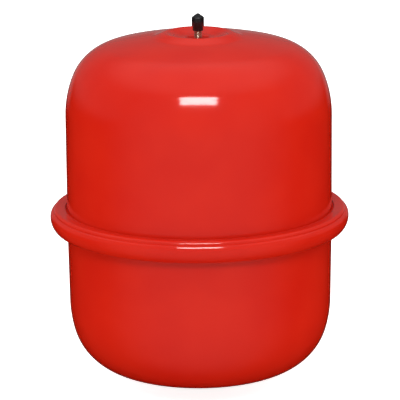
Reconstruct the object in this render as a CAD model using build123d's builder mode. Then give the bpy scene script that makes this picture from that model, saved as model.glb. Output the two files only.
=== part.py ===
"""Closed expansion vessel for a heating system, with a fixed rubber diaphragm.

Two drawn steel shells are held together by a rolled clench ring, which also grips the rim of
the diaphragm. A gas charging valve stands in a recess at the top, and a threaded water
connection leaves at the bottom. Millimetres, +Z up, origin on the axis at the end face of the
water connection.
"""
import os
from math import asin, cos, degrees, radians, sin, sqrt

from build123d import *

# ---- overall sizes ----
body_radius = 136.1
wall = 1.2
upper_wall_height = 107.0
lower_wall_depth = 87.4
lower_wall_draft = 0.94
connection_stand_out = 10.0

# ---- the domes, as tangent arcs from the wall to the axis ----
upper_shoulder_radius = 107.0
upper_shoulder_sweep = 22.3
upper_knuckle_radius = 52.5
upper_knuckle_sweep = 54.1
lower_shoulder_radius = 116.0
lower_shoulder_sweep = 15.1
lower_knuckle_radius = 60.0
lower_knuckle_sweep = 61.0

# ---- recess for the gas valve in the upper dome ----
crest_radius = 33.0
crest_rise = 4.0
crest_foot = 20.0
foot_tangent = 7.0
crest_rounding = 10.0
foot_rounding = 24.0
dish_depth = 5.6
dish_floor_radius = 18.0
dish_rounding = 9.0
well_mouth_radius = 11.2
well_floor_radius = 9.6
well_depth = 6.0
well_mouth_rounding = 2.4
well_floor_rounding = 1.8

# ---- seat for the water connection in the lower dome ----
seat_rise = 6.0
seat_mouth_radius = 36.0
seat_floor_radius = 25.0
seat_rounding = 9.0
seat_tangent = 8.0

# ---- rims, diaphragm bead and clench ring; radial places count from the body's wall ----
joint_gap = 0.1
root_rounding = 2.0
gas_rim_top = 8.4
gas_rim_reach = 11.8
gas_rim_bend = 2.4
gas_lip_end = 4.0
water_rim_bottom = -10.4
water_rim_reach = 12.3
water_rim_bend = 6.0
water_lip_end = -3.5
bead_start = 2.3
ring_thickness = 1.6
ring_lobe_radius = 3.1
ring_lobe_out = 10.6
ring_lobe_drop = 0.43
ring_arm_slope = 5.0
ring_arm_length = 8.0
ring_groove_angle = 5.0
ring_ledge_slope = 18.0
ring_ledge_length = 1.2
ring_upper_arcs = ((2.4, 42.0), (8.6, 30.0))
ring_lower_arcs = ((8.9, 52.0), (16.0, 33.0), (8.6, 5.0))
ring_lower_lip_out = 2.9
ring_gap = 0.15

# ---- diaphragm ----
diaphragm_thickness = 2.2
diaphragm_gap = 0.9
neck_bottom = -2.1
neck_rounding = 3.0
bead_length = 8.2
bead_rounding = 4.0

# ---- water connection: 3/4 inch pipe thread, drawn as its plain major cylinder ----
pipe_thread_radius = 13.22
pipe_bore_radius = 8.0
collar_radius = 17.5
collar_height = 3.0
relief_radius = 11.8
relief_length = 2.0
spigot_radius = 11.0
spigot_clearance = 0.1
spigot_proud = 0.3
thread_chamfer = 0.9

# ---- gas valve ----
stem_radius = 3.85
stem_height = 24.2
stem_chamfer = 0.5
thread_clearance = 0.05
hole_clearance = 0.25
foot_radius = 8.5
foot_height = 2.0
valve_seal_radius = 7.6
valve_seal_height = 2.0
washer_radius = 7.0
washer_height = 0.8
nut_flat_radius = 5.5
nut_height = 2.6
nut_chamfer = 0.4

# ---- valve core; depths count down from the top of the stem ----
core_bore_radius = 2.65
core_bore_depth = 6.4
core_cone_height = 1.5
gas_bore_radius = 2.0
core_clearance = 0.05
plug_top_depth = 1.6
plug_height = 4.6
plug_ear_height = 1.3
plug_ear_width = 2.4
plug_socket_depth = 1.4
pin_radius = 0.6
pin_top_depth = 0.3
pin_tail = 0.4
slide_clearance = 0.05
barrel_radius = 1.7
barrel_bore_radius = 1.2
barrel_length = 8.2
barrel_floor = 1.0
collar_drop = 0.4
pin_collar_radius = 1.1
pin_collar_height = 0.5
spring_wire_radius = 0.14
spring_coil_radius = 0.9
spring_turns = 8
cup_radius = 1.7
cup_wall = 0.35
cup_floor = 1.0
pin_seal_height = 1.0
pin_seal_proud = 0.3

# ---- dust cap ----
cap_height = 17.6
cap_overlap = 11.4
cap_corner_radius = 6.75
cap_tip_height = 3.8
cap_tip_radius = 1.2
cap_skirt_radius = 5.4
cap_skirt_height = 4.4
cap_skirt_bore_radius = 4.4
cap_thread_length = 6.35
cap_rounding = 0.5
cap_seal_height = 1.0
cap_seal_radius = 3.8
cap_seal_gap = 0.05


def polar(length, angle):
    """A step in a section, at an angle in degrees above the radial direction."""
    return Vector(length * cos(radians(angle)), length * sin(radians(angle)))


def follow_arcs(start_radius, start_height, start_angle, arcs):
    """Follow tangent arcs round a section; return where they end and at what angle."""
    radius = start_radius
    height = start_height
    angle = radians(start_angle)
    for arc_radius, sweep in arcs:
        end = angle + radians(sweep)
        radius += arc_radius * (cos(end) - cos(angle))
        height += arc_radius * (sin(end) - sin(angle))
        angle = end
    return radius, height, angle


def dome_height(start_radius, start_height, start_angle, arcs):
    """Follow the tangent arcs of a dome; return its height at the axis and its crown radius."""
    radius, height, angle = follow_arcs(start_radius, start_height, start_angle, arcs)
    crown = radius / cos(angle)
    return height + crown * (1 - sin(angle)), crown


# ---- places worked out from the sizes above ----
upper_arcs = (
    (upper_shoulder_radius, upper_shoulder_sweep),
    (upper_knuckle_radius, upper_knuckle_sweep),
)
lower_arcs = (
    (lower_shoulder_radius, lower_shoulder_sweep),
    (lower_knuckle_radius, lower_knuckle_sweep),
)
lower_wall_top = -water_rim_bottom + root_rounding
lower_wall_run = lower_wall_depth - lower_wall_top
lower_radius = body_radius - lower_wall_run * sin(radians(lower_wall_draft))
upper_dome, upper_crown = dome_height(body_radius, upper_wall_height, 0, upper_arcs)
lower_dome, lower_crown = dome_height(lower_radius, lower_wall_depth, lower_wall_draft, lower_arcs)

ring_z = connection_stand_out + lower_dome
upper_pole_z = ring_z + upper_dome
seat_z = connection_stand_out + seat_rise

foot_of_crest = crest_radius + crest_foot
crest_z = upper_pole_z - crest_radius**2 / (2 * upper_crown) + crest_rise
dish_z = crest_z - dish_depth
well_z = dish_z - well_depth
stem_hole_radius = stem_radius + hole_clearance
stem_top_z = well_z + stem_height
foot_top_z = well_z - wall - valve_seal_height
foot_z = foot_top_z - foot_height
thread_length = seat_z - collar_height

plug_top_z = stem_top_z - plug_top_depth
plug_z = plug_top_z - plug_height
barrel_top_z = plug_z + plug_socket_depth
barrel_z = barrel_top_z - barrel_length
pin_hole_radius = pin_radius + slide_clearance
pin_collar_top_z = barrel_top_z - collar_drop
spring_top_z = pin_collar_top_z - pin_collar_height
spring_z = barrel_z + barrel_floor
cup_z = barrel_z - pin_seal_height - cup_floor
cup_top_z = barrel_z - pin_seal_proud
pin_z = cup_z - pin_tail
pin_top_z = stem_top_z - pin_top_depth

cap_z = stem_top_z - cap_overlap
cap_top_z = cap_z + cap_height
cap_head_z = cap_z + cap_skirt_height
cap_shoulder_z = cap_top_z - cap_tip_height
cap_bore_radius = stem_radius + thread_clearance
cap_seal_z = stem_top_z + cap_seal_gap


def upper_outline():
    """Outer line of the upper shell, from the valve hole out to the lip of its rim."""
    tilt = degrees(asin(foot_of_crest / upper_crown))
    crown_z = upper_pole_z - upper_crown
    foot = Vector(foot_of_crest, crown_z + sqrt(upper_crown**2 - foot_of_crest**2))
    foot_corner = foot - polar(foot_tangent, -tilt)
    recess = FilletPolyline(
        (stem_hole_radius, well_z),
        (well_floor_radius, well_z),
        (well_mouth_radius, dish_z),
        (dish_floor_radius, dish_z),
        (crest_radius, crest_z),
        foot_corner,
        foot,
        radius=[well_floor_rounding, well_mouth_rounding, dish_rounding, crest_rounding, foot_rounding],
    )
    crown_sweep = 90 - tilt - upper_shoulder_sweep - upper_knuckle_sweep
    crown = JernArc(recess @ 1, polar(1, -tilt), upper_crown, -crown_sweep)
    knuckle = JernArc(crown @ 1, crown % 1, upper_knuckle_radius, -upper_knuckle_sweep)
    shoulder = JernArc(knuckle @ 1, knuckle % 1, upper_shoulder_radius, -upper_shoulder_sweep)
    side = Line(shoulder @ 1, (body_radius, ring_z + gas_rim_top + root_rounding))
    root = JernArc(side @ 1, (0, -1), root_rounding, 90)
    rim = Line(root @ 1, (body_radius + gas_rim_reach - gas_rim_bend, ring_z + gas_rim_top))
    bend = JernArc(rim @ 1, (1, 0), gas_rim_bend, -90)
    Line(bend @ 1, (body_radius + gas_rim_reach, ring_z + gas_lip_end))


def lower_dome_outline(start_radius):
    """Outer line of the lower shell, from a radius on the connection's seat to the wall's top."""
    seat_foot = seat_mouth_radius + seat_tangent
    tilt = degrees(asin(seat_foot / lower_crown))
    crown_z = connection_stand_out + lower_crown
    foot = Vector(seat_foot, crown_z - sqrt(lower_crown**2 - seat_foot**2))
    recess = FilletPolyline(
        (start_radius, seat_z),
        (seat_floor_radius, seat_z),
        foot - polar(seat_tangent, tilt),
        foot,
        radius=[seat_rounding, seat_rounding],
    )
    crown_sweep = 90 - tilt - lower_wall_draft - lower_shoulder_sweep - lower_knuckle_sweep
    crown = JernArc(recess @ 1, polar(1, tilt), lower_crown, crown_sweep)
    knuckle = JernArc(crown @ 1, crown % 1, lower_knuckle_radius, lower_knuckle_sweep)
    shoulder = JernArc(knuckle @ 1, knuckle % 1, lower_shoulder_radius, lower_shoulder_sweep)
    return Line(shoulder @ 1, (body_radius, ring_z - lower_wall_top))


STANDING = (Align.CENTER, Align.CENTER, Align.MIN)


def disc(z, height, radius, mode=Mode.ADD):
    """Add or cut a plain disc standing on height z."""
    with Locations((0, 0, z)):
        Cylinder(radius, height, align=STANDING, mode=mode)


def bore(z, height, radius):
    """Cut a plain round hole upward from height z."""
    disc(z, height, radius, mode=Mode.SUBTRACT)


# ---- upper shell, gas side ----
with BuildPart() as gas_shell:
    with BuildSketch(Plane.XZ):
        with BuildLine():
            upper_outline()
            offset(amount=wall, side=Side.RIGHT)
        make_face()
    revolve(axis=Axis.Z)
gas_shell.part.label = "gas_shell"

# ---- lower shell, water side ----
with BuildPart() as water_shell:
    with BuildSketch(Plane.XZ):
        with BuildLine():
            side = lower_dome_outline(spigot_radius + spigot_clearance)
            root = JernArc(side @ 1, (0, 1), root_rounding, -90)
            rim_bend_x = body_radius + water_rim_reach - water_rim_bend
            rim = Line(root @ 1, (rim_bend_x, ring_z + water_rim_bottom))
            bend = JernArc(rim @ 1, (1, 0), water_rim_bend, 90)
            Line(bend @ 1, (body_radius + water_rim_reach, ring_z + water_lip_end))
            offset(amount=wall, side=Side.LEFT)
        make_face()
    revolve(axis=Axis.Z)
water_shell.part.label = "water_shell"

# ---- rolled clench ring ----
with BuildPart() as clench_ring:
    with BuildSketch(Plane.XZ):
        with BuildLine():
            lobe_centre = (body_radius + ring_lobe_out, ring_z + gas_rim_top - ring_lobe_drop)
            lobe_start = 90 + ring_arm_slope
            lobe = CenterArc(lobe_centre, ring_lobe_radius, lobe_start, -lobe_start - ring_groove_angle)
            Line(lobe @ 0 - polar(ring_arm_length, ring_arm_slope), lobe @ 0)
            last = Line(lobe @ 1, lobe @ 1 + polar(ring_ledge_length, -ring_ledge_slope))
            for arc_radius, arc_sweep in ring_upper_arcs:
                last = JernArc(last @ 1, last % 1, arc_radius, -arc_sweep)
            side_top = last @ 1
            bottom = ring_z + water_rim_bottom - ring_gap - ring_thickness
            rise = follow_arcs(0, 0, -90, ring_lower_arcs)[1]
            last = Line(side_top, (side_top.X, bottom + rise))
            for arc_radius, arc_sweep in reversed(ring_lower_arcs):
                last = JernArc(last @ 1, last % 1, arc_radius, -arc_sweep)
            Line(last @ 1, (body_radius + ring_lower_lip_out, bottom))
            offset(amount=ring_thickness, side=Side.RIGHT)
        make_face()
    revolve(axis=Axis.Z)
clench_ring.part.label = "clench_ring"

# ---- diaphragm, lying against the water side as it does before filling ----
with BuildPart() as diaphragm:
    bead_x = body_radius + bead_start
    bead_z = ring_z + water_rim_bottom + wall + joint_gap
    bead_top_z = ring_z + gas_rim_top - wall - joint_gap
    with BuildSketch(Plane.XZ) as section:
        with BuildLine():
            lower_dome_outline(0)
            inside = offset(amount=wall + diaphragm_gap, side=Side.LEFT, closed=False)
            top = inside.vertices().sort_by(Axis.Y)[-1]
            rise = Line(top, (top.X, ring_z + neck_bottom - neck_rounding))
            neck = JernArc(rise @ 1, (0, 1), neck_rounding, -90)
            Line(neck @ 1, (bead_x + bead_length / 2, ring_z + neck_bottom))
            offset(amount=diaphragm_thickness, side=Side.LEFT)
        make_face()
        with Locations((bead_x, bead_z)):
            RectangleRounded(
                bead_length,
                bead_top_z - bead_z,
                bead_rounding,
                align=(Align.MIN, Align.MIN),
            )
    revolve(axis=Axis.Z)
diaphragm.part.label = "diaphragm"

# ---- water connection, welded into its seat ----
with BuildPart() as water_connection:
    disc(0, thread_length - relief_length, pipe_thread_radius)
    chamfer(water_connection.edges().sort_by(Axis.Z)[0], thread_chamfer)
    disc(thread_length - relief_length, relief_length, relief_radius)
    disc(thread_length, collar_height, collar_radius)
    disc(seat_z, wall + spigot_proud, spigot_radius)
    bore(0, seat_z + wall + spigot_proud, pipe_bore_radius)
water_connection.part.label = "water_connection"

# ---- gas valve stem, with its foot inside the vessel ----
with BuildPart() as valve_stem:
    disc(foot_z, foot_height, foot_radius)
    disc(foot_top_z, stem_top_z - foot_top_z, stem_radius)
    chamfer(valve_stem.edges().sort_by(Axis.Z)[-1], stem_chamfer)
    with BuildSketch(Plane.XZ):
        with BuildLine():
            Polyline(
                (0, foot_z),
                (gas_bore_radius, foot_z),
                (gas_bore_radius, stem_top_z - core_bore_depth - core_cone_height),
                (core_bore_radius, stem_top_z - core_bore_depth),
                (core_bore_radius, stem_top_z),
                (0, stem_top_z),
                close=True,
            )
        make_face()
    revolve(axis=Axis.Z, mode=Mode.SUBTRACT)
valve_stem.part.label = "valve_stem"

with BuildPart() as valve_seal:
    disc(foot_top_z, valve_seal_height, valve_seal_radius)
    bore(foot_top_z, valve_seal_height, stem_radius + thread_clearance)
valve_seal.part.label = "valve_seal"

with BuildPart() as valve_washer:
    disc(well_z, washer_height, washer_radius)
    bore(well_z, washer_height, stem_hole_radius)
valve_washer.part.label = "valve_washer"

with BuildPart() as valve_nut:
    with BuildSketch(Plane.XY.offset(well_z + washer_height)):
        RegularPolygon(nut_flat_radius, 6, major_radius=False)
    extrude(amount=nut_height)
    chamfer(valve_nut.faces().sort_by(Axis.Z)[-1].edges(), nut_chamfer)
    bore(well_z, washer_height + nut_height, stem_radius + thread_clearance)
valve_nut.part.label = "valve_nut"

# ---- valve core, from the top down ----
with BuildPart() as core_plug:
    disc(plug_z, plug_height - plug_ear_height, core_bore_radius - core_clearance)
    with BuildSketch(Plane.XY.offset(plug_top_z - plug_ear_height)):
        Circle(core_bore_radius - core_clearance)
        Rectangle(2 * core_bore_radius, plug_ear_width, mode=Mode.INTERSECT)
    extrude(amount=plug_ear_height)
    bore(plug_z, plug_socket_depth, barrel_radius + core_clearance)
    bore(plug_z, plug_height, pin_hole_radius)
core_plug.part.label = "core_plug"

with BuildPart() as core_barrel:
    disc(barrel_z, barrel_length, barrel_radius)
    bore(barrel_z, barrel_length, pin_hole_radius)
    bore(spring_z, barrel_length - barrel_floor, barrel_bore_radius)
core_barrel.part.label = "core_barrel"

with BuildPart() as barrel_seal:
    with BuildSketch(Plane.XZ):
        with BuildLine():
            Polyline(
                (barrel_radius, stem_top_z - core_bore_depth - core_cone_height),
                (gas_bore_radius - core_clearance, stem_top_z - core_bore_depth - core_cone_height),
                (core_bore_radius - core_clearance, stem_top_z - core_bore_depth),
                (core_bore_radius - core_clearance, plug_z),
                (barrel_radius, plug_z),
                close=True,
            )
        make_face()
    revolve(axis=Axis.Z)
barrel_seal.part.label = "barrel_seal"

with BuildPart() as core_pin:
    disc(pin_z, pin_top_z - pin_z, pin_radius)
    fillet(core_pin.edges().sort_by(Axis.Z)[-1], pin_radius / 2)
core_pin.part.label = "core_pin"

with BuildPart() as pin_collar:
    disc(spring_top_z, pin_collar_height, pin_collar_radius)
    bore(spring_top_z, pin_collar_height, pin_radius)
pin_collar.part.label = "pin_collar"

with BuildPart() as pin_cup:
    disc(cup_z, cup_top_z - cup_z, cup_radius)
    bore(cup_z, cup_top_z - cup_z, pin_radius)
    bore(cup_z + cup_floor, cup_top_z - cup_z - cup_floor, cup_radius - cup_wall)
pin_cup.part.label = "pin_cup"

with BuildPart() as pin_seal:
    disc(cup_z + cup_floor, pin_seal_height, cup_radius - cup_wall)
    bore(cup_z + cup_floor, pin_seal_height, pin_radius)
pin_seal.part.label = "pin_seal"

with BuildPart() as core_spring:
    spring_height = spring_top_z - spring_z - 2 * spring_wire_radius
    with BuildLine(Plane.XY.offset(spring_z + spring_wire_radius)):
        coil = Helix(spring_height / spring_turns, spring_height, spring_coil_radius)
    with BuildSketch(Plane(origin=coil @ 0, z_dir=coil % 0)):
        Circle(spring_wire_radius)
    sweep(is_frenet=True)
core_spring.part.label = "core_spring"

# ---- dust cap: round skirt, six-sided grip and a low six-sided point ----
with BuildPart() as valve_cap:
    with BuildSketch(Plane.XY.offset(cap_head_z)):
        RegularPolygon(cap_corner_radius, 6)
    extrude(amount=cap_shoulder_z - cap_head_z)
    with BuildSketch(Plane.XY.offset(cap_shoulder_z)):
        RegularPolygon(cap_corner_radius, 6)
    with BuildSketch(Plane.XY.offset(cap_top_z)):
        RegularPolygon(cap_tip_radius, 6)
    loft()
    head_edges = valve_cap.edges().filter_by_position(Axis.Z, cap_head_z + cap_rounding, cap_top_z + 1)
    fillet(head_edges, cap_rounding)
    disc(cap_z, cap_skirt_height, cap_skirt_radius)
    bore(cap_z, cap_overlap + cap_seal_gap + cap_seal_height, cap_bore_radius)
    bore(cap_z, cap_overlap - cap_thread_length, cap_skirt_bore_radius)
valve_cap.part.label = "valve_cap"

with BuildPart() as cap_seal:
    disc(cap_seal_z, cap_seal_height, cap_seal_radius)
cap_seal.part.label = "cap_seal"

parts = [
    gas_shell,
    water_shell,
    clench_ring,
    diaphragm,
    water_connection,
    valve_stem,
    valve_seal,
    valve_washer,
    valve_nut,
    core_plug,
    core_barrel,
    barrel_seal,
    core_pin,
    pin_collar,
    pin_cup,
    pin_seal,
    core_spring,
    valve_cap,
    cap_seal,
]

os.makedirs("parts", exist_ok=True)
for builder in parts:
    export_step(builder.part, f"parts/{builder.part.label}.step")
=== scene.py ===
"""Looks of a closed diaphragm expansion vessel: stoved red shells, gas valve and pipe thread."""

import math

import bmesh
import bpy
from mathutils import Matrix, Quaternion, Vector


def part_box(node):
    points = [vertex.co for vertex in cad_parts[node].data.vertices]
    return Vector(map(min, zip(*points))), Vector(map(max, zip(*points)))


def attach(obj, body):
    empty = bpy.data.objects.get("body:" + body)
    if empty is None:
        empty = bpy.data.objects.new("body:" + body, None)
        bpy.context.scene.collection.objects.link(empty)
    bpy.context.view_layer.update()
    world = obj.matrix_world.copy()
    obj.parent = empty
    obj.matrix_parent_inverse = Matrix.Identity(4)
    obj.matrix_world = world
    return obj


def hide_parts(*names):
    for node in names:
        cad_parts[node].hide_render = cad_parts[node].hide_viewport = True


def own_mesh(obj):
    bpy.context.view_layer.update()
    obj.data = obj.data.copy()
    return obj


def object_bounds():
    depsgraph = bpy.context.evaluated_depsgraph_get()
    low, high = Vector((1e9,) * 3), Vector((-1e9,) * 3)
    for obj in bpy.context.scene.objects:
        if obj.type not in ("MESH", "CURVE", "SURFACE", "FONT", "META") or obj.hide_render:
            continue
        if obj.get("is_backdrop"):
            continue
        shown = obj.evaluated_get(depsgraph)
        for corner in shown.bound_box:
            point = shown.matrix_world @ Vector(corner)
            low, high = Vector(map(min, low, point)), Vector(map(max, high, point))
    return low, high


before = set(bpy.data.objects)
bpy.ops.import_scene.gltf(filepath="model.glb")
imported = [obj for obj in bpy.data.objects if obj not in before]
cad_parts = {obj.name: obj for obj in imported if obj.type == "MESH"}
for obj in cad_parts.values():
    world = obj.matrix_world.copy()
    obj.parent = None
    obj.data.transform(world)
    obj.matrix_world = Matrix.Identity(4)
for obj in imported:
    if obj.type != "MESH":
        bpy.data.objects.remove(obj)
cad_low, cad_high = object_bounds()

MM = 0.001

# ---- fineness of the meshes: sides round the axis, and the longest step along an arc ----
ROUND = 256
PIPE_ROUND = 160
STEM_ROUND = 64
WASHER_ROUND = 96
NUT_ROUND = 240
CAP_ROUND = 144
ARC_STEP = 2.6
ARC_TURN = 9.0
CORNER_TURN = 6.0
SAME_POINT = 1e-4
SHARP = math.radians(32)
THREAD_SHARP = math.radians(50)

# ---- sheet steel, in millimetres ----
WALL = 1.2
BODY = 136.1
ROOT_ROUNDING = 2.0
GAS_RIM_BEND = 2.4
GAS_LIP = 2.0
GAS_RIM_TOP = 8.4
GAS_LIP_END = 4.0
UPPER_WALL = 107.0
UPPER_SHOULDER = (107.0, 22.3)
UPPER_KNUCKLE = (52.5, 54.1)
CREST_FOOT = 53.0
FOOT_TANGENT = 7.0
CREST = 33.0
CREST_RISE = 4.0
DISH_FLOOR = 18.0
DISH_DEPTH = 5.6
WELL_MOUTH = 11.2
WELL_FLOOR = 9.6
WELL_DEPTH = 6.0
STEM_HOLE = 4.1
RECESS_ROUNDINGS = (24.0, 10.0, 9.0, 2.4, 1.8)

WATER_RIM_BEND = 6.0
WATER_LIP = 0.9
WATER_LIP_END = -3.5
WATER_RIM_BOTTOM = -10.4
LOWER_DRAFT = 0.94
LOWER_WALL = 87.4
LOWER_SHOULDER = (116.0, 15.1)
LOWER_KNUCKLE = (60.0, 61.0)
SEAT_FOOT = 44.0
SEAT_TANGENT = 8.0
SEAT_FLOOR = 25.0
SPIGOT_UP = 1.5
SEAT_HOLE = 11.1
SEAT_ROUNDINGS = (9.0, 9.0)

# ---- clench ring ----
RING_SHEET = 1.6
RING_BOTTOM = 12.15
RING_LOBE = 3.1
RING_LOBE_OUT = 10.6
RING_LOBE_UP = 7.97
RING_ARM = 8.0
RING_ARM_SLOPE = 5.0
RING_GROOVE = 5.0
RING_LEDGE = 1.2
RING_LEDGE_SLOPE = 18.0
RING_UPPER_ARCS = ((2.4, 42.0), (8.6, 30.0))
RING_LOWER_ARCS = ((8.6, 5.0), (16.0, 33.0), (8.9, 52.0))
RING_LIP_OUT = 2.9

# ---- threads: pitch, depth ----
PIPE_THREAD = (1.814, 1.16)
VALVE_THREAD = (0.794, 0.43)
ROWS_PER_PITCH = 14


# ======================= section lines =======================
def heading_vector(angle):
    """Unit step in a section: 0 points outward from the axis, 90 points up."""
    return Vector((math.cos(math.radians(angle)), math.sin(math.radians(angle))))


def walk(start, heading, moves):
    """Trace a section line. A number is a straight run; a pair is an arc's radius and left turn."""
    here = Vector(start)
    points = [here.copy()]
    for move in moves:
        if not isinstance(move, tuple):
            here = here + heading_vector(heading) * move
            points.append(here.copy())
            continue
        radius, turn = move
        side = 90 if turn > 0 else -90
        centre = here + heading_vector(heading + side) * radius
        step = min(ARC_TURN, math.degrees(ARC_STEP / radius))
        count = max(3, math.ceil(abs(turn) / step))
        for i in range(1, count + 1):
            points.append(centre - heading_vector(heading + side + turn * i / count) * radius)
        heading += turn
        here = points[-1].copy()
    return points, heading


def rounded(corners, radii):
    """A line through corners, with every inner corner rounded to its own radius."""
    points = [Vector(corners[0])]
    for before, corner, after, radius in zip(corners, corners[1:], corners[2:], radii):
        corner = Vector(corner)
        inward = (Vector(before) - corner).normalized()
        outward = (Vector(after) - corner).normalized()
        half = math.acos(max(-1.0, min(1.0, inward.dot(outward)))) / 2
        start = corner + inward * radius / math.tan(half)
        end = corner + outward * radius / math.tan(half)
        centre = corner + (inward + outward).normalized() * radius / math.sin(half)
        count = max(4, math.ceil(math.degrees(math.pi - 2 * half) / CORNER_TURN))
        spoke = start - centre
        swing = spoke.angle_signed(end - centre)
        for i in range(count + 1):
            points.append(centre + Matrix.Rotation(-swing * i / count, 2) @ spoke)
    points.append(Vector(corners[-1]))
    return points


def sheet_section(line, thickness):
    """Close a section line into sheet metal; the second face is to its left, or right if negative."""
    clean = [line[0]]
    for point in line[1:]:
        if (point - clean[-1]).length > SAME_POINT:
            clean.append(point)
    second = []
    for i, point in enumerate(clean):
        before = clean[max(i - 1, 0)]
        after = clean[min(i + 1, len(clean) - 1)]
        one = (point - before).normalized() if i else (after - point).normalized()
        two = (after - point).normalized() if i < len(clean) - 1 else one
        left = Vector((-one.y - two.y, one.x + two.x)).normalized()
        lean = max(0.5, left.dot(Vector((-one.y, one.x))))
        second.append(point + left * thickness / lean)
    return clean + second[::-1]


# ======================= meshes =======================
def mesh_object(name, vertices, faces, material):
    """A closed mesh in metres, faces outward, smooth but for its sharp edges."""
    mesh = bpy.data.meshes.new(name)
    mesh.from_pydata(vertices, [], faces)
    work = bmesh.new()
    work.from_mesh(mesh)
    bmesh.ops.remove_doubles(work, verts=work.verts, dist=1e-7)
    bmesh.ops.recalc_face_normals(work, faces=work.faces)
    work.to_mesh(mesh)
    work.free()
    mesh.materials.append(material)
    mesh.shade_smooth()
    mesh.set_sharp_from_angle(angle=SHARP)
    made = bpy.data.objects.new(name, mesh)
    bpy.context.scene.collection.objects.link(made)
    return made


def turned(name, section, material, around=ROUND):
    """Turn a closed section in millimetres about the vessel's axis."""
    vertices = []
    for k in range(around):
        angle = 2 * math.pi * k / around
        c, s = math.cos(angle), math.sin(angle)
        vertices += [(p.x * c * MM, p.x * s * MM, p.y * MM) for p in section]
    n = len(section)
    faces = []
    for k in range(around):
        a, b = k * n, (k + 1) % around * n
        for i, point in enumerate(section):
            after = (i + 1) % n
            if point.x > 0 or section[after].x > 0:
                faces.append((a + i, a + after, b + after, b + i))
    return mesh_object(name, vertices, faces, material)


def lofted(name, rings, material, around):
    """Skin a closed stack of rings; each ring is a height and its radius at every angle."""
    vertices = []
    for height, radius_at in rings:
        for k in range(around):
            angle = 2 * math.pi * k / around
            radius = radius_at(angle)
            vertices.append((radius * math.cos(angle) * MM, radius * math.sin(angle) * MM, height * MM))
    count = len(rings)
    faces = []
    for r in range(count):
        above = (r + 1) % count
        if rings[r][1](0) == 0 and rings[above][1](0) == 0:
            continue
        a, b = r * around, above * around
        for k in range(around):
            after = (k + 1) % around
            faces.append((a + k, a + after, b + after, b + k))
    return mesh_object(name, vertices, faces, material)


def circle(radius):
    """Radius of a round ring at any angle."""
    return lambda angle: radius


def hexagon(flat, corner_rounding, limit=math.inf):
    """Radius of a six-sided ring with softened corners on +X, never past a limiting circle."""
    half_side = math.radians(30)

    def radius_at(angle):
        straight = flat / math.cos(angle % (2 * half_side) - half_side)
        corner = flat / math.cos(half_side) - corner_rounding
        soft = corner_rounding * 0.6
        blend = max(soft - abs(straight - corner), 0) / soft
        return min(min(straight, corner) - blend * blend * soft / 4, limit)

    return radius_at


# ======================= materials =======================
def colour(code):
    """An sRGB hex code as linear red, green, blue and full alpha."""
    parts = [int(code[i : i + 2], 16) / 255 for i in (1, 3, 5)]
    linear = [c / 12.92 if c <= 0.04045 else ((c + 0.055) / 1.055) ** 2.4 for c in parts]
    return (*linear, 1.0)


def add(tree, kind, inputs=None, **settings):
    """Add one node with its settings. Inputs are values, outputs, or nodes for their first output."""
    made = tree.nodes.new(kind)
    for key, value in settings.items():
        setattr(made, key, value)
    for key, value in (inputs or {}).items():
        if isinstance(value, bpy.types.Node):
            value = value.outputs[0]
        if isinstance(value, bpy.types.NodeSocket):
            tree.links.new(value, made.inputs[key])
        else:
            made.inputs[key].default_value = value
    return made


def per_mm(size):
    """Noise scale whose features are about this many millimetres on Object coordinates."""
    return 1 / (size * MM)


def stretch(value, low, high, out_low, out_high):
    """Inputs that stretch a value from one range to another."""
    return {"Value": value, "From Min": low, "From Max": high, "To Min": out_low, "To Max": out_high}


def new_material(name):
    """An empty node material with its tree and Object coordinates."""
    made = bpy.data.materials.new(name)
    made.use_nodes = True
    made.node_tree.nodes.clear()
    place = add(made.node_tree, "ShaderNodeTexCoord").outputs["Object"]
    return made, made.node_tree, place


def close_material(tree, film, roughness, bump, **uniform):
    """Shade the surface with its two-toned film, its roughness and its relief."""
    inputs = {"Base Color": film.outputs[2], "Roughness": roughness, **uniform}
    if bump:
        inputs["Normal"] = bump
    shader = add(tree, "ShaderNodeBsdfPrincipled", inputs)
    add(tree, "ShaderNodeOutputMaterial", {"Surface": shader})


def two_tones(factor, light, dark):
    """Inputs that mix two colours by a factor."""
    return {0: factor, 6: colour(light), 7: colour(dark)}


def stoved_enamel():
    """Alkyd enamel sprayed on drawn steel and baked: a deep even gloss with a faint orange peel."""
    made, tree, place = new_material("stoved_red_enamel")
    cloud = add(tree, "ShaderNodeTexNoise", {"Vector": place, "Scale": per_mm(70), "Detail": 2.0})
    peel = add(tree, "ShaderNodeTexNoise", {"Vector": place, "Scale": per_mm(3.2), "Detail": 1.5})
    drawn = add(tree, "ShaderNodeTexNoise", {"Vector": place, "Scale": per_mm(38), "Detail": 1.0})
    nib = add(tree, "ShaderNodeTexVoronoi", {"Vector": place, "Scale": per_mm(26)})
    # the paint film is a little thicker or thinner, which shifts the red
    thickness = add(tree, "ShaderNodeMapRange", stretch(cloud.outputs[0], 0.35, 0.65, 0.0, 1.0))
    film = add(tree, "ShaderNodeMix", two_tones(thickness, "#D41E0D", "#D92310"), data_type="RGBA")
    # slow waves left by the press, then the paint's own peel, then a few tiny nibs of dust
    wave = add(tree, "ShaderNodeBump", {"Height": drawn, "Strength": 1.0, "Distance": 0.05 * MM})
    skin = add(
        tree,
        "ShaderNodeBump",
        {"Height": peel, "Strength": 1.0, "Distance": 0.006 * MM, "Normal": wave},
    )
    dust = add(tree, "ShaderNodeMapRange", stretch(nib.outputs["Distance"], 0.0, 0.02, 1.0, 0.0))
    nibs = add(
        tree,
        "ShaderNodeBump",
        {"Height": dust, "Strength": 0.5, "Distance": 0.02 * MM, "Normal": skin},
    )
    roughness = add(tree, "ShaderNodeMapRange", stretch(peel.outputs[0], 0.3, 0.7, 0.08, 0.12))
    close_material(tree, film, roughness, nibs, IOR=1.54)
    return made


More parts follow.
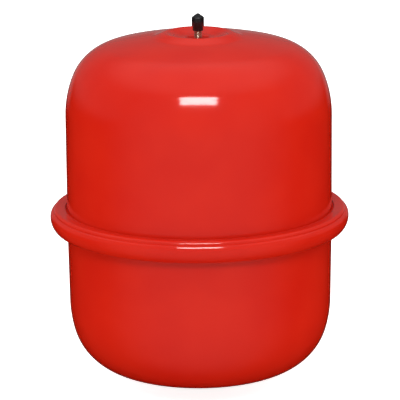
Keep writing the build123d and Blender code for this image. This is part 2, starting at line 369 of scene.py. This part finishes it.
def turned_metal(name, light, dark, roughness, line, relief):
    """Metal turned on a lathe: fine feed lines round the axis, and a thin uneven tarnish."""
    made, tree, place = new_material(name)
    lines = add(
        tree,
        "ShaderNodeTexWave",
        {
            "Vector": place,
            "Scale": per_mm(line) * math.pi / 10,
            "Distortion": 1.2,
            "Detail": 2.0,
            "Detail Scale": 2.0,
        },
        bands_direction="Z",
    )
    tarnish = add(tree, "ShaderNodeTexNoise", {"Vector": place, "Scale": per_mm(2.5), "Detail": 4.0})
    share = add(tree, "ShaderNodeMapRange", stretch(tarnish.outputs[0], 0.35, 0.7, 0.0, 1.0))
    film = add(tree, "ShaderNodeMix", two_tones(share, light, dark), data_type="RGBA")
    feed = add(
        tree,
        "ShaderNodeBump",
        {"Height": lines.outputs["Fac"], "Strength": 0.6, "Distance": relief * MM},
    )
    dulled = stretch(tarnish.outputs[0], 0.3, 0.7, roughness, roughness + 0.14)
    close_material(tree, film, add(tree, "ShaderNodeMapRange", dulled), feed, Metallic=1.0)
    return made


def moulded(name, light, dark, roughness, grain, relief, ior=1.5):
    """Plastic or rubber taken from a mould: an even skin with the mould's fine grain."""
    made, tree, place = new_material(name)
    fine = add(tree, "ShaderNodeTexNoise", {"Vector": place, "Scale": per_mm(grain), "Detail": 3.0})
    flow = add(tree, "ShaderNodeTexNoise", {"Vector": place, "Scale": per_mm(grain * 16), "Detail": 2.0})
    share = add(tree, "ShaderNodeMapRange", stretch(flow.outputs[0], 0.35, 0.65, 0.0, 1.0))
    film = add(tree, "ShaderNodeMix", two_tones(share, light, dark), data_type="RGBA")
    skin = add(tree, "ShaderNodeBump", {"Height": fine, "Strength": 0.7, "Distance": relief * MM})
    dulled = stretch(flow.outputs[0], 0.3, 0.7, roughness, roughness + 0.1)
    close_material(tree, film, add(tree, "ShaderNodeMapRange", dulled), skin, IOR=ior)
    return made


enamel = stoved_enamel()
# bright nickel over brass: a warm silver that keeps the lathe's lines
nickel = turned_metal("nickel_plated_brass", "#DED8C6", "#B9AE93", 0.16, 0.25, 0.004)
# zinc from the plating bath: a cooler, slightly duller silver
zinc = turned_metal("zinc_plated_steel", "#D3D6DA", "#A9AEB8", 0.22, 0.4, 0.006)
# bare free-cutting brass: yellow, browner where it has tarnished
brass = turned_metal("turned_brass", "#D9B56A", "#A67F3C", 0.2, 0.2, 0.004)
# stainless wire drawn through a die: grey and smooth
spring_steel = turned_metal("drawn_stainless_wire", "#C4C5C6", "#95979A", 0.2, 0.1, 0.002)
# polyamide from a polished mould: a near-black half gloss
cap_plastic = moulded("moulded_black_polyamide", "#17171A", "#101012", 0.22, 0.35, 0.01)
# cured rubber: black and dull
rubber = moulded("moulded_epdm_rubber", "#1C1C1D", "#131314", 0.55, 0.3, 0.02)
# fluoropolymer cut from a billet: waxy white
ptfe = moulded("skived_ptfe", "#ECEAE2", "#DFDDD3", 0.4, 0.3, 0.01, ior=1.35)


# ======================= thread cutter =======================
CREST_SHARE = 0.12
ROOT_SHARE = 0.12
ABOVE_ZERO = 64


def thread_cutter():
    """Geometry Nodes that press a right-handed thread into a plain round rod."""
    tree = bpy.data.node_groups.new("cut_thread", "GeometryNodeTree")
    face = tree.interface
    face.new_socket("Rod", in_out="INPUT", socket_type="NodeSocketGeometry")
    for label in ("Pitch", "Depth", "Bottom", "Top", "Run Out", "Root Radius"):
        face.new_socket(label, in_out="INPUT", socket_type="NodeSocketFloat")
    face.new_socket("Finish", in_out="INPUT", socket_type="NodeSocketMaterial")
    face.new_socket("Threaded", in_out="OUTPUT", socket_type="NodeSocketGeometry")
    given = add(tree, "NodeGroupInput").outputs
    spot = add(tree, "GeometryNodeInputPosition")
    axes = add(tree, "ShaderNodeSeparateXYZ", {0: spot}).outputs

    # place in the pitch: whole turns up the rod less the turn round it, kept above zero
    angle = add(tree, "ShaderNodeMath", {0: axes["Y"], 1: axes["X"]}, operation="ARCTAN2")
    turn = add(tree, "ShaderNodeMath", {0: angle, 1: 2 * math.pi}, operation="DIVIDE")
    climb = add(tree, "ShaderNodeMath", {0: axes["Z"], 1: given["Pitch"]}, operation="DIVIDE")
    helix = add(tree, "ShaderNodeMath", {0: climb, 1: turn}, operation="SUBTRACT")
    lifted = add(tree, "ShaderNodeMath", {0: helix, 1: ABOVE_ZERO}, operation="ADD")
    phase = add(tree, "ShaderNodeMath", {0: lifted}, operation="FRACT")

    # zero on the crest, one in the root, with soft flanks between
    doubled = add(tree, "ShaderNodeMath", {0: phase, 1: 2}, operation="MULTIPLY")
    centred = add(tree, "ShaderNodeMath", {0: doubled, 1: 1}, operation="SUBTRACT")
    flank = add(tree, "ShaderNodeMath", {0: centred}, operation="ABSOLUTE")
    groove = add(
        tree,
        "ShaderNodeMapRange",
        {"Value": flank, "From Min": CREST_SHARE, "From Max": 1 - ROOT_SHARE},
        interpolation_type="SMOOTHSTEP",
    )

    # the thread fades in over its run-out at the bottom and fades out at the top
    low = add(tree, "ShaderNodeMath", {0: given["Bottom"], 1: given["Run Out"]}, operation="ADD")
    high = add(tree, "ShaderNodeMath", {0: given["Top"], 1: given["Run Out"]}, operation="SUBTRACT")
    into = add(
        tree,
        "ShaderNodeMapRange",
        {"Value": axes["Z"], "From Min": given["Bottom"], "From Max": low},
    )
    out = add(tree, "ShaderNodeMapRange", {"Value": axes["Z"], "From Min": given["Top"], "From Max": high})
    fade = add(tree, "ShaderNodeMath", {0: into, 1: out}, operation="MULTIPLY")
    full = add(tree, "ShaderNodeMath", {0: groove, 1: given["Depth"]}, operation="MULTIPLY")
    depth = add(tree, "ShaderNodeMath", {0: full, 1: fade}, operation="MULTIPLY")

    # press inward only what lies outside the root
    inward = add(tree, "ShaderNodeMath", {0: depth, 1: -1}, operation="MULTIPLY")
    outward = add(tree, "ShaderNodeCombineXYZ", {"X": axes["X"], "Y": axes["Y"]})
    reach = add(tree, "ShaderNodeVectorMath", {0: outward}, operation="LENGTH").outputs["Value"]
    unit = add(tree, "ShaderNodeVectorMath", {0: outward}, operation="NORMALIZE")
    cut = add(tree, "ShaderNodeVectorMath", {0: unit, "Scale": inward}, operation="SCALE")
    outside = add(tree, "ShaderNodeMath", {0: reach, 1: given["Root Radius"]}, operation="GREATER_THAN")
    pressed = add(
        tree,
        "GeometryNodeSetPosition",
        {"Geometry": given["Rod"], "Selection": outside, "Offset": cut},
    )
    real = add(tree, "GeometryNodeRealizeInstances", {"Geometry": pressed})
    painted = add(tree, "GeometryNodeSetMaterial", {"Geometry": real, "Material": given["Finish"]})
    add(tree, "NodeGroupOutput", {"Threaded": painted})
    return tree


THREAD_TREE = thread_cutter()


def cut_thread(rod, thread, bottom, top, run_out, root_radius):
    """Run the thread cutter on a turned rod and keep the plain mesh it gives."""
    pitch, depth = thread
    values = {
        "Pitch": pitch * MM,
        "Depth": depth * MM,
        "Bottom": bottom * MM,
        "Top": top * MM,
        "Run Out": run_out * MM,
        "Root Radius": root_radius * MM,
        "Finish": rod.data.materials[0],
    }
    modifier = rod.modifiers.new("thread", "NODES")
    modifier.node_group = THREAD_TREE
    for socket in THREAD_TREE.interface.items_tree:
        if socket.in_out == "INPUT" and socket.name in values:
            modifier[socket.identifier] = values[socket.name]
    graph = bpy.context.evaluated_depsgraph_get()
    mesh = bpy.data.meshes.new_from_object(rod.evaluated_get(graph))
    rod.modifiers.clear()
    rod.data = mesh
    mesh.shade_smooth()
    mesh.set_sharp_from_angle(angle=THREAD_SHARP)
    return rod


def threaded_side(radius, bottom, top, pitch):
    """Section points up a rod's side, close enough together to carry its thread."""
    count = math.ceil((top - bottom) / pitch * ROWS_PER_PITCH)
    return [Vector((radius, bottom + (top - bottom) * i / count)) for i in range(count + 1)]


def stand_in(made, node, body="vessel"):
    """Hand a finished piece to the frame in place of its plain CAD node."""
    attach(made, body)
    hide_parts(node)
    return made


# ======================= shells and ring =======================
ring_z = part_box("gas_shell")[0].z / MM - GAS_LIP_END
gas_rim_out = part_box("gas_shell")[1].x / MM
water_rim_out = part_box("water_shell")[1].x / MM
seat_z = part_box("water_connection")[1].z / MM - SPIGOT_UP

# upper shell: from the rim's lip, over the wall and dome, down into the valve's recess
rim_run = gas_rim_out - GAS_RIM_BEND - BODY - ROOT_ROUNDING
wall_run = UPPER_WALL - GAS_RIM_TOP - ROOT_ROUNDING
outer, heading = walk(
    (gas_rim_out, ring_z + GAS_LIP_END),
    90,
    [GAS_LIP, (GAS_RIM_BEND, 90), rim_run, (ROOT_ROUNDING, -90), wall_run, UPPER_SHOULDER, UPPER_KNUCKLE],
)
crown = outer[-1].x / math.cos(math.radians(heading - 90))
tilt = math.degrees(math.asin(CREST_FOOT / crown))
dome, _ = walk(outer[-1], heading, [(crown, 180 - tilt - heading)])
foot = dome[-1]
pole_z = foot.y + crown * (1 - math.cos(math.radians(tilt)))
crest_z = pole_z - CREST**2 / (2 * crown) + CREST_RISE
dish_z = crest_z - DISH_DEPTH
well_z = dish_z - WELL_DEPTH
recess = rounded(
    [
        foot,
        foot - heading_vector(-tilt) * FOOT_TANGENT,
        (CREST, crest_z),
        (DISH_FLOOR, dish_z),
        (WELL_MOUTH, dish_z),
        (WELL_FLOOR, well_z),
        (STEM_HOLE, well_z),
    ],
    RECESS_ROUNDINGS,
)
stand_in(
    turned("upper_shell", sheet_section(outer + dome + recess, WALL), enamel),
    "gas_shell",
)

# lower shell: from its rim's lip, down the wall and dome, into the connection's seat
rim_run = water_rim_out - WATER_RIM_BEND - BODY - ROOT_ROUNDING
wall_run = (LOWER_WALL + WATER_RIM_BOTTOM - ROOT_ROUNDING) / math.cos(math.radians(LOWER_DRAFT))
outer, heading = walk(
    (water_rim_out, ring_z + WATER_LIP_END),
    -90,
    [
        WATER_LIP,
        (WATER_RIM_BEND, -90),
        rim_run,
        (ROOT_ROUNDING, 90 - LOWER_DRAFT),
        wall_run,
        (LOWER_SHOULDER[0], -LOWER_SHOULDER[1]),
        (LOWER_KNUCKLE[0], -LOWER_KNUCKLE[1]),
    ],
)
crown = outer[-1].x / math.cos(math.radians(heading + 90))
tilt = math.degrees(math.asin(SEAT_FOOT / crown))
dome, _ = walk(outer[-1], heading, [(crown, tilt - 180 - heading)])
foot = dome[-1]
seat = rounded(
    [foot, foot - heading_vector(tilt) * SEAT_TANGENT, (SEAT_FLOOR, seat_z), (SEAT_HOLE, seat_z)],
    SEAT_ROUNDINGS,
)
stand_in(
    turned("lower_shell", sheet_section(outer + dome + seat, -WALL), enamel),
    "water_shell",
)

# clench ring: arm on the upper rim, rolled lobe, groove, then the belly down to its lower lip
lobe = Vector((BODY + RING_LOBE_OUT, ring_z + RING_LOBE_UP))
arm_end = lobe + heading_vector(90 + RING_ARM_SLOPE) * RING_LOBE
arm_start = arm_end - heading_vector(RING_ARM_SLOPE) * RING_ARM
roll, _ = walk(arm_start, RING_ARM_SLOPE, [RING_ARM, (RING_LOBE, -90 - RING_ARM_SLOPE - RING_GROOVE)])
belly, heading = walk(
    roll[-1],
    -RING_LEDGE_SLOPE,
    [RING_LEDGE] + [(radius, -turn) for radius, turn in RING_UPPER_ARCS],
)
lower = [(radius, -turn) for radius, turn in RING_LOWER_ARCS]
drop = walk((0, 0), heading, lower)[0][-1].y
side = belly[-1].y + drop - ring_z + RING_BOTTOM
under, _ = walk(belly[-1], heading, [side] + lower)
lip = Vector((BODY + RING_LIP_OUT, under[-1].y))
stand_in(
    turned("rolled_clench_ring", sheet_section(roll + belly + under + [lip], -RING_SHEET), enamel),
    "clench_ring",
)

# ======================= water connection =======================
THREAD_R = 13.22
THREAD_END = 11.0
THREAD_CHAMFER = 0.9
PIPE_BORE = 8.0
RELIEF = (11.8, 13.0)
COLLAR = (17.5, 16.0)
SPIGOT = (11.0, 17.5)
EDGE = 0.35
PIPE_RUN_OUT = 1.6
ROOT_MARGIN = 0.4
TURNED_NECK = 0.5


def section(*corners):
    """Corners of a closed section, in millimetres."""
    return [Vector(corner) for corner in corners]


nipple = turned(
    "water_nipple",
    section(
        (PIPE_BORE, SPIGOT[1] - EDGE),
        (PIPE_BORE, EDGE),
        (PIPE_BORE + EDGE, 0),
        (THREAD_R - THREAD_CHAMFER, 0),
    )
    + threaded_side(THREAD_R, THREAD_CHAMFER, THREAD_END, PIPE_THREAD[0])
    + section(
        (RELIEF[0], THREAD_END + THREAD_R - RELIEF[0] - TURNED_NECK),
        RELIEF,
        (COLLAR[0] - EDGE, RELIEF[1]),
        (COLLAR[0], RELIEF[1] + EDGE),
        (COLLAR[0], COLLAR[1] - EDGE),
        (COLLAR[0] - EDGE, COLLAR[1]),
        (SPIGOT[0], COLLAR[1]),
        SPIGOT,
        (PIPE_BORE + EDGE, SPIGOT[1]),
    ),
    zinc,
    around=PIPE_ROUND,
)
cut_thread(nipple, PIPE_THREAD, 0.0, THREAD_END, PIPE_RUN_OUT, RELIEF[0] + ROOT_MARGIN)
stand_in(nipple, "water_connection")

# ======================= gas valve =======================
stem_low, stem_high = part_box("valve_stem")
foot_z, stem_top = stem_low.z / MM, stem_high.z / MM
FOOT_HEIGHT = 2.0
foot_top = foot_z + FOOT_HEIGHT
STEM_R = 3.85
FOOT_R = 8.5
CORE_BORE = 2.65
GAS_BORE = 2.0
CORE_BORE_DEPTH = 6.4
CORE_CONE = 1.5
STEM_CHAMFER = 0.5
STEM_RUN_OUT = 0.8
PAST_END = 0.2
BREAK = 0.15

stem = turned(
    "valve_stem_threaded",
    section(
        (GAS_BORE, stem_top - CORE_BORE_DEPTH - CORE_CONE),
        (GAS_BORE, foot_z),
        (FOOT_R - BREAK, foot_z),
        (FOOT_R, foot_z + BREAK),
        (FOOT_R, foot_top - BREAK),
        (FOOT_R - BREAK, foot_top),
    )
    + threaded_side(STEM_R, foot_top, stem_top - STEM_CHAMFER, VALVE_THREAD[0])
    + section(
        (STEM_R - STEM_CHAMFER, stem_top),
        (CORE_BORE + BREAK, stem_top),
        (CORE_BORE, stem_top - BREAK),
        (CORE_BORE, stem_top - CORE_BORE_DEPTH),
    ),
    nickel,
    around=STEM_ROUND,
)
cut_thread(stem, VALVE_THREAD, foot_top, stem_top + PAST_END, STEM_RUN_OUT, STEM_R - STEM_CHAMFER)
stand_in(stem, "valve_stem")

washer_low, washer_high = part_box("valve_washer")
low, high, out = washer_low.z / MM, washer_high.z / MM, washer_high.x / MM
washer = turned(
    "stem_washer",
    section(
        (STEM_HOLE, low + BREAK),
        (STEM_HOLE + BREAK, low),
        (out - BREAK, low),
        (out, low + BREAK),
        (out, high - 2 * BREAK),
        (out - BREAK, high - BREAK / 2),
        (out - 2 * BREAK, high),
        (STEM_HOLE + BREAK, high),
        (STEM_HOLE, high - BREAK),
    ),
    zinc,
    around=WASHER_ROUND,
)
stand_in(washer, "valve_washer")

nut_low, nut_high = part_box("valve_nut")
low, high, flat = nut_low.z / MM, nut_high.z / MM, nut_high.y / MM
NUT_BORE = 3.9
COUNTERSINK = 0.35
NUT_CORNER = 0.06
BEVEL_HEIGHT = 0.5
BEVEL_START = 0.05
BEVEL_REACH = 0.95
BEVEL_STEPS = 5
# each end's bevel is a cone that cuts the six corners back to a circle
bevel = [
    (BEVEL_HEIGHT * i / BEVEL_STEPS, BEVEL_START + BEVEL_REACH * i / BEVEL_STEPS)
    for i in range(BEVEL_STEPS + 1)
]
rings = [(low + up, hexagon(flat, NUT_CORNER, flat + past)) for up, past in bevel]
rings += [(high - up, hexagon(flat, NUT_CORNER, flat + past)) for up, past in reversed(bevel)]
rings += [
    (high, circle(NUT_BORE + COUNTERSINK)),
    (high - COUNTERSINK, circle(NUT_BORE)),
    (low + COUNTERSINK, circle(NUT_BORE)),
    (low, circle(NUT_BORE + COUNTERSINK)),
]
stand_in(lofted("stem_lock_nut", rings, nickel, NUT_ROUND), "valve_nut")

# ======================= dust cap =======================
cap_low, cap_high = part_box("valve_cap")
low, high, flat = cap_low.z / MM, cap_high.z / MM, cap_high.y / MM
SKIRT = 5.4
SKIRT_UP = 4.4
SHOULDER_DOWN = 3.8
CAP_BORE = 3.9
CAP_MOUTH = 4.4
MOUTH_UP = 5.05
BORE_UP = 12.45
CAP_CORNER = 0.45
TIP = 1.3
head = low + SKIRT_UP
shoulder = high - SHOULDER_DOWN
slope = SHOULDER_DOWN / (flat - TIP)
# up the outside from the skirt's rounded foot to the point, then down the inside to the mouth
rings = [
    (low, circle(SKIRT - 0.35)),
    (low + 0.1, circle(SKIRT - 0.12)),
    (low + 0.35, circle(SKIRT)),
    (head - 0.25, circle(SKIRT)),
    (head - 0.02, circle(SKIRT + 0.04)),
    (head, hexagon(flat - 0.3, CAP_CORNER)),
    (head + 0.1, hexagon(flat - 0.1, CAP_CORNER)),
    (head + 0.3, hexagon(flat, CAP_CORNER)),
    (shoulder - 0.6, hexagon(flat, CAP_CORNER)),
    (shoulder - 0.3, hexagon(flat - 0.04, CAP_CORNER)),
    (shoulder - 0.05, hexagon(flat - 0.16, CAP_CORNER)),
    (shoulder + 0.18, hexagon(flat - 0.42, CAP_CORNER)),
    (shoulder + 0.5, hexagon(flat - 0.5 / slope - 0.1, CAP_CORNER)),
    (high - 0.75, hexagon(TIP + 0.75 / slope - 0.05, CAP_CORNER)),
    (high - 0.3, hexagon(TIP + 0.2, CAP_CORNER)),
    (high - 0.08, hexagon(TIP - 0.25, 0.3)),
    (high, hexagon(TIP - 0.65, 0.2)),
    (high, circle(0)),
    (low + BORE_UP, circle(0)),
    (low + BORE_UP, circle(CAP_BORE)),
    (low + MOUTH_UP + 0.4, circle(CAP_BORE)),
    (low + MOUTH_UP, circle(CAP_MOUTH)),
    (low + 0.3, circle(CAP_MOUTH)),
    (low, circle(CAP_MOUTH + 0.25)),
]
stand_in(lofted("screw_cap", rings, cap_plastic, CAP_ROUND), "valve_cap", "cap")

# ======================= valve spring =======================
SPRING_WIRE = 0.14
SPRING_COIL = 0.9
SPRING_TURNS = 8
STEPS_PER_TURN = 48
WIRE_SIDES = 12


def wound(name, low, high, material):
    """A wire wound into an open coil between two heights, its two ends cut square."""
    rise = high - low - 2 * SPRING_WIRE
    steps = SPRING_TURNS * STEPS_PER_TURN
    slope = math.atan2(rise / SPRING_TURNS, 2 * math.pi * SPRING_COIL)
    vertices = []
    for k in range(steps + 1):
        angle = 2 * math.pi * SPRING_TURNS * k / steps
        outward = Vector((math.cos(angle), math.sin(angle), 0))
        level = Vector((-math.sin(angle), math.cos(angle), 0))
        along = level * math.cos(slope) + Vector((0, 0, math.sin(slope)))
        centre = outward * SPRING_COIL + Vector((0, 0, low + SPRING_WIRE + rise * k / steps))
        across = along.cross(outward)
        for i in range(WIRE_SIDES):
            side = 2 * math.pi * i / WIRE_SIDES
            point = centre + (outward * math.cos(side) + across * math.sin(side)) * SPRING_WIRE
            vertices.append(tuple(point * MM))
    faces = [tuple(range(WIRE_SIDES)), tuple(steps * WIRE_SIDES + i for i in range(WIRE_SIDES))]
    for k in range(steps):
        a, b = k * WIRE_SIDES, (k + 1) * WIRE_SIDES
        for i in range(WIRE_SIDES):
            after = (i + 1) % WIRE_SIDES
            faces.append((a + i, a + after, b + after, b + i))
    return mesh_object(name, vertices, faces, material)


spring_low, spring_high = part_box("core_spring")
low, high = spring_low.z / MM, spring_high.z / MM
spring = wound("wound_core_spring", low, high, spring_steel)
stand_in(spring, "core_spring")
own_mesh(spring)

# ======================= CAD pieces that keep their shape =======================
FINISHES = {
    "diaphragm": rubber,
    "valve_seal": rubber,
    "pin_seal": rubber,
    "cap_seal": rubber,
    "core_plug": brass,
    "core_barrel": brass,
    "core_pin": brass,
    "pin_collar": brass,
    "pin_cup": brass,
    "barrel_seal": ptfe,
}
for node, finish in FINISHES.items():
    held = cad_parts[node]
    held.data.materials.clear()
    held.data.materials.append(finish)

# ======================= floor =======================
BOARD_HALF = 30.0
BOARD_GAP = 0.1
TABLE_GLOW = 0.9


def matt_board(name, light, dark, glow=0.0):
    """Matt painted board with a faint mottle; a glow makes it an opal sheet lit from below."""
    made, tree, place = new_material(name)
    mottle = add(tree, "ShaderNodeTexNoise", {"Vector": place, "Scale": per_mm(400), "Detail": 2.0})
    tone = add(tree, "ShaderNodeMix", two_tones(mottle, light, dark), data_type="RGBA")
    shine = {"Emission Color": tone.outputs[2], "Emission Strength": glow}
    close_material(tree, tone, 0.9, None, **shine)
    return made


def board(name, material, height):
    """A wide level board under the vessel, never mirrored in it."""
    half = BOARD_HALF
    corners = [(-half, -half, height), (half, -half, height), (half, half, height), (-half, half, height)]
    mesh = bpy.data.meshes.new(name)
    mesh.from_pydata(corners, [], [(0, 1, 2, 3)])
    mesh.materials.append(material)
    made = bpy.data.objects.new(name, mesh)
    bpy.context.scene.collection.objects.link(made)
    made.visible_glossy = False
    made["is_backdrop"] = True
    return made


# the camera sees a glowing table top; the light bounces off a matt board just below it
table = board("studio_floor", matt_board("opal_table_top", "#FAFAF9", "#FCFCFC", TABLE_GLOW), cad_low.z)
table.visible_diffuse = False
table.visible_shadow = False
bounce_z = cad_low.z - BOARD_GAP * MM
bounce = board("bounce_board", matt_board("pale_matt_board", "#E4E4E3", "#E7E7E6"), bounce_z)
bounce.visible_camera = False

# ======================= light =======================
# Matt surfaces are lit by the key light and a tent that is bright overhead and at the sides.
# What the gloss mirrors is the room: pale overhead, dim behind, light along the back horizon.
WHITE = (1.0, 1.0, 1.0, 1.0)
BACKDROP = 1.05
TENT = 0.04
TENT_SIDES = 1.24
TENT_TOP = 0.9
MIRRORED_OVERHEAD = 0.48
MIRRORED_BACK = 0.15
MIRRORED_HORIZON = 0.22
MIRRORED_FLOOR = 0.3
HORIZON_DROP = 0.04


def studio_world():
    """Tent light for matt surfaces, a graded room for glossy ones and a white backdrop."""
    made = bpy.data.worlds.new("pale_studio")
    bpy.context.scene.world = made
    made.use_nodes = True
    tree = made.node_tree
    tree.nodes.clear()
    soft = {"interpolation_type": "SMOOTHSTEP"}
    ray = add(tree, "ShaderNodeTexCoord").outputs["Generated"]
    axes = add(tree, "ShaderNodeSeparateXYZ", {0: ray}).outputs

    aside = add(tree, "ShaderNodeMath", {0: axes["X"]}, operation="ABSOLUTE").outputs[0]
    sides = add(tree, "ShaderNodeMapRange", stretch(aside, 0.3, 0.95, TENT, TENT + TENT_SIDES), **soft)
    top = add(tree, "ShaderNodeMapRange", stretch(axes["Z"], 0.3, 0.9, 0.0, TENT_TOP), **soft)
    tent = add(tree, "ShaderNodeMath", {0: top, 1: sides}, operation="ADD")

    above = add(tree, "ShaderNodeMapRange", stretch(axes["Z"], -0.1, 0.1, 0.0, 1.0), **soft)
    ceiling = stretch(axes["Z"], 0.5, 0.9, MIRRORED_BACK, MIRRORED_OVERHEAD)
    overhead = add(tree, "ShaderNodeMapRange", ceiling, **soft)
    walls = add(tree, "ShaderNodeMath", {0: above, 1: overhead}, operation="MULTIPLY")
    front = add(tree, "ShaderNodeMapRange", stretch(axes["Y"], 0.1, -0.95, 0.0, MIRRORED_FLOOR), **soft)
    raised = add(tree, "ShaderNodeMath", {0: axes["Z"], 1: HORIZON_DROP}, operation="ADD")
    off_band = add(tree, "ShaderNodeMath", {0: raised}, operation="ABSOLUTE").outputs[0]
    level = add(tree, "ShaderNodeMapRange", stretch(off_band, 0.06, 0.16, 1.0, 0.0), **soft)
    behind = stretch(axes["Y"], 0.82, 0.95, 0.0, MIRRORED_HORIZON)
    behind = add(tree, "ShaderNodeMapRange", behind, **soft)
    horizon = add(tree, "ShaderNodeMath", {0: level, 1: behind}, operation="MULTIPLY")
    near = add(tree, "ShaderNodeMath", {0: walls, 1: front}, operation="MAXIMUM")
    mirrored = add(tree, "ShaderNodeMath", {0: near, 1: horizon}, operation="MAXIMUM")

    path = add(tree, "ShaderNodeLightPath").outputs
    strength = add(tree, "ShaderNodeMix", {"Factor": path["Is Glossy Ray"], "A": tent, "B": mirrored})
    room = add(tree, "ShaderNodeBackground", {"Color": WHITE, "Strength": strength})
    backdrop = add(tree, "ShaderNodeBackground", {"Color": WHITE, "Strength": BACKDROP})
    seen = add(tree, "ShaderNodeMixShader", {0: path["Is Camera Ray"], 1: room, 2: backdrop})
    add(tree, "ShaderNodeOutputWorld", {"Surface": seen})


def softbox(name, elevation, distance, width, height, radiance):
    """A rectangular studio light in front, facing the upper dome, unseen by the camera."""
    light = bpy.data.lights.new(name, "AREA")
    light.shape = "RECTANGLE"
    light.size = width
    light.size_y = height
    light.energy = radiance * math.pi * width * height
    lamp = bpy.data.objects.new(name, light)
    tilt = math.radians(elevation)
    away = Vector((0, -math.cos(tilt), math.sin(tilt)))
    lamp.location = Vector((0, 0, (ring_z + UPPER_WALL) * MM)) + away * distance
    lamp.rotation_mode = "QUATERNION"
    lamp.rotation_quaternion = away.to_track_quat("Z", "Y")
    lamp.visible_camera = False
    bpy.context.scene.collection.objects.link(lamp)
    return lamp


studio_world()
glint = softbox("front_softbox", elevation=34, distance=2.2, width=1.14, height=0.47, radiance=17)
glint.visible_diffuse = False
key = softbox("key_light", elevation=32, distance=2.6, width=1.3, height=0.55, radiance=9.8)
key.visible_glossy = False

# ======================= camera =======================
DISTANCE = 3.09
ELEVATION = 14.45
ROLL = 0.5
LENS = 270
VIEW_STEPS = 400
AIM_STEPS = (0.6, 15.0)

camera_data = bpy.data.cameras.new("camera")
camera_data.lens = LENS
camera_data.clip_end = 100
camera = bpy.data.objects.new("camera", camera_data)
bpy.context.scene.collection.objects.link(camera)
bpy.context.scene.camera = camera
tilt = math.radians(ELEVATION)
towards = Vector((0, -math.cos(tilt), math.sin(tilt)))
upward = Vector((0, math.sin(tilt), math.cos(tilt)))
middle = Vector((0, 0, ring_z * MM))
camera.location = middle + towards * DISTANCE
# the aim is set off from the ring's centre in four-hundredths of the view's width
step = DISTANCE * camera_data.sensor_width / LENS / VIEW_STEPS
aim = middle + Vector((AIM_STEPS[0] * step, 0, 0)) + upward * AIM_STEPS[1] * step
look = (camera.location - aim).to_track_quat("Z", "Y")
camera.rotation_mode = "QUATERNION"
camera.rotation_quaternion = look @ Quaternion((0, 0, 1), math.radians(-ROLL))

bpy.context.scene.view_settings.view_transform = "Standard"

low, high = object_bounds()
